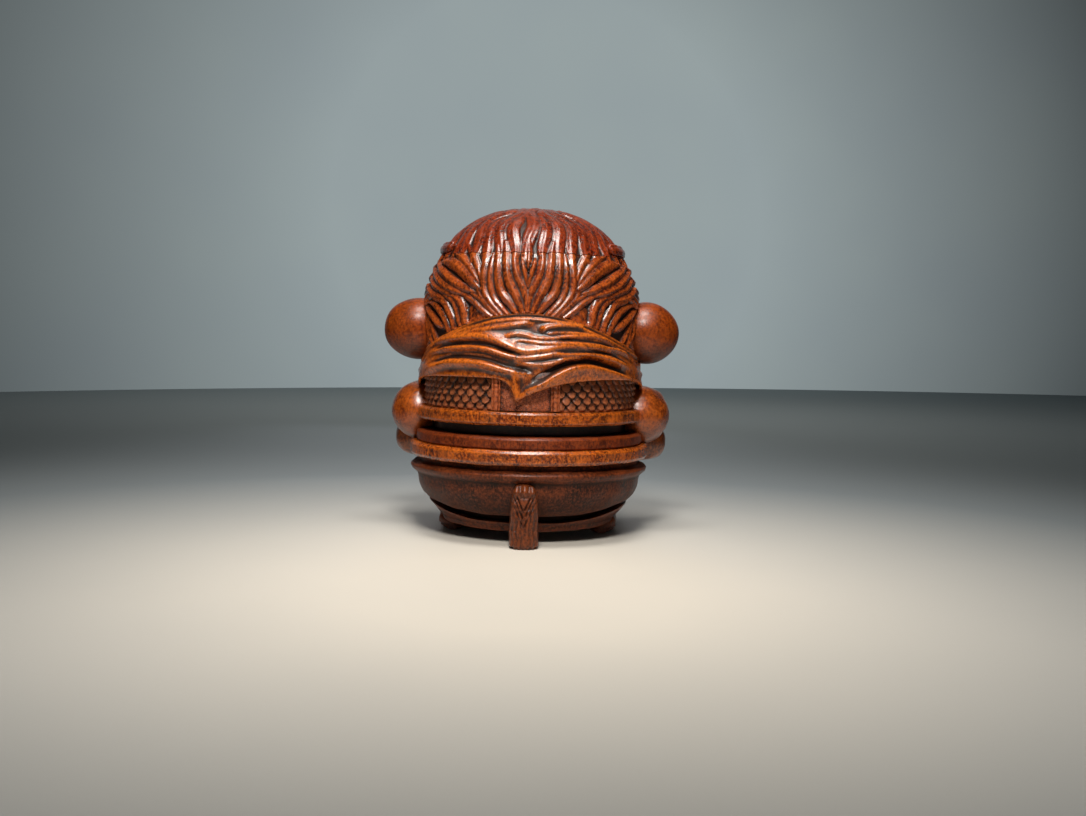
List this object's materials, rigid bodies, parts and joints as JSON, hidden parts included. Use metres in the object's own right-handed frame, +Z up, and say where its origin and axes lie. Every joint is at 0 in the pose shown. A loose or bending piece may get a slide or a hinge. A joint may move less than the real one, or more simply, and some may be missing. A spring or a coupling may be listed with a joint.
{
  "type": "carved wooden doll",
  "caption": "Squat egg-shaped carved hardwood doll with swept hair, draped shawl, scale armour, belts, skirt and a hanging tassel; stands on flat-soled shoes and the tassel.",
  "frame": {"origin": "on the floor under the middle of the doll, at the centre of its box's bottom face", "axes": "+Z up, the doll faces -Y, its left side is +X"},
  "size_m": [0.0462, 0.0381, 0.05],
  "materials": {
    "polished_boxwood": "stained orange-brown hardwood, carved, polished by handling to a semi-gloss",
    "satin_boxwood": "stained dark brown hardwood, carved, satin",
    "red_stained_boxwood": "stained red-brown hardwood, carved, polished",
    "bare_dowel_wood": "bare unstained dowel wood"
  },
  "bodies": {
    "root": {"crown_cap": "red_stained_boxwood", "headband": "polished_boxwood", "head": "polished_boxwood", "shawl": "polished_boxwood", "waist_belt": "polished_boxwood", "skirt_belt": "polished_boxwood", "left_ear": "polished_boxwood", "right_ear": "polished_boxwood", "left_arm": "polished_boxwood", "right_arm": "polished_boxwood", "left_hand": "polished_boxwood", "right_hand": "polished_boxwood", "torso": "satin_boxwood", "back_panel": "satin_boxwood", "chest_panel": "satin_boxwood", "hip_ring": "satin_boxwood", "skirt_bowl": "satin_boxwood", "hem_base": "satin_boxwood", "tassel": "satin_boxwood", "left_foot": "satin_boxwood", "right_foot": "satin_boxwood", "left_ear_peg": "bare_dowel_wood", "right_ear_peg": "bare_dowel_wood", "left_arm_peg": "bare_dowel_wood", "right_arm_peg": "bare_dowel_wood", "left_hand_peg": "bare_dowel_wood", "right_hand_peg": "bare_dowel_wood", "left_foot_dowel": "bare_dowel_wood", "right_foot_dowel": "bare_dowel_wood", "tassel_peg": "bare_dowel_wood", "spine_dowel": "bare_dowel_wood", "neck_dowel": "bare_dowel_wood", "crown_dowel": "bare_dowel_wood"}
  },
  "joints": []
}
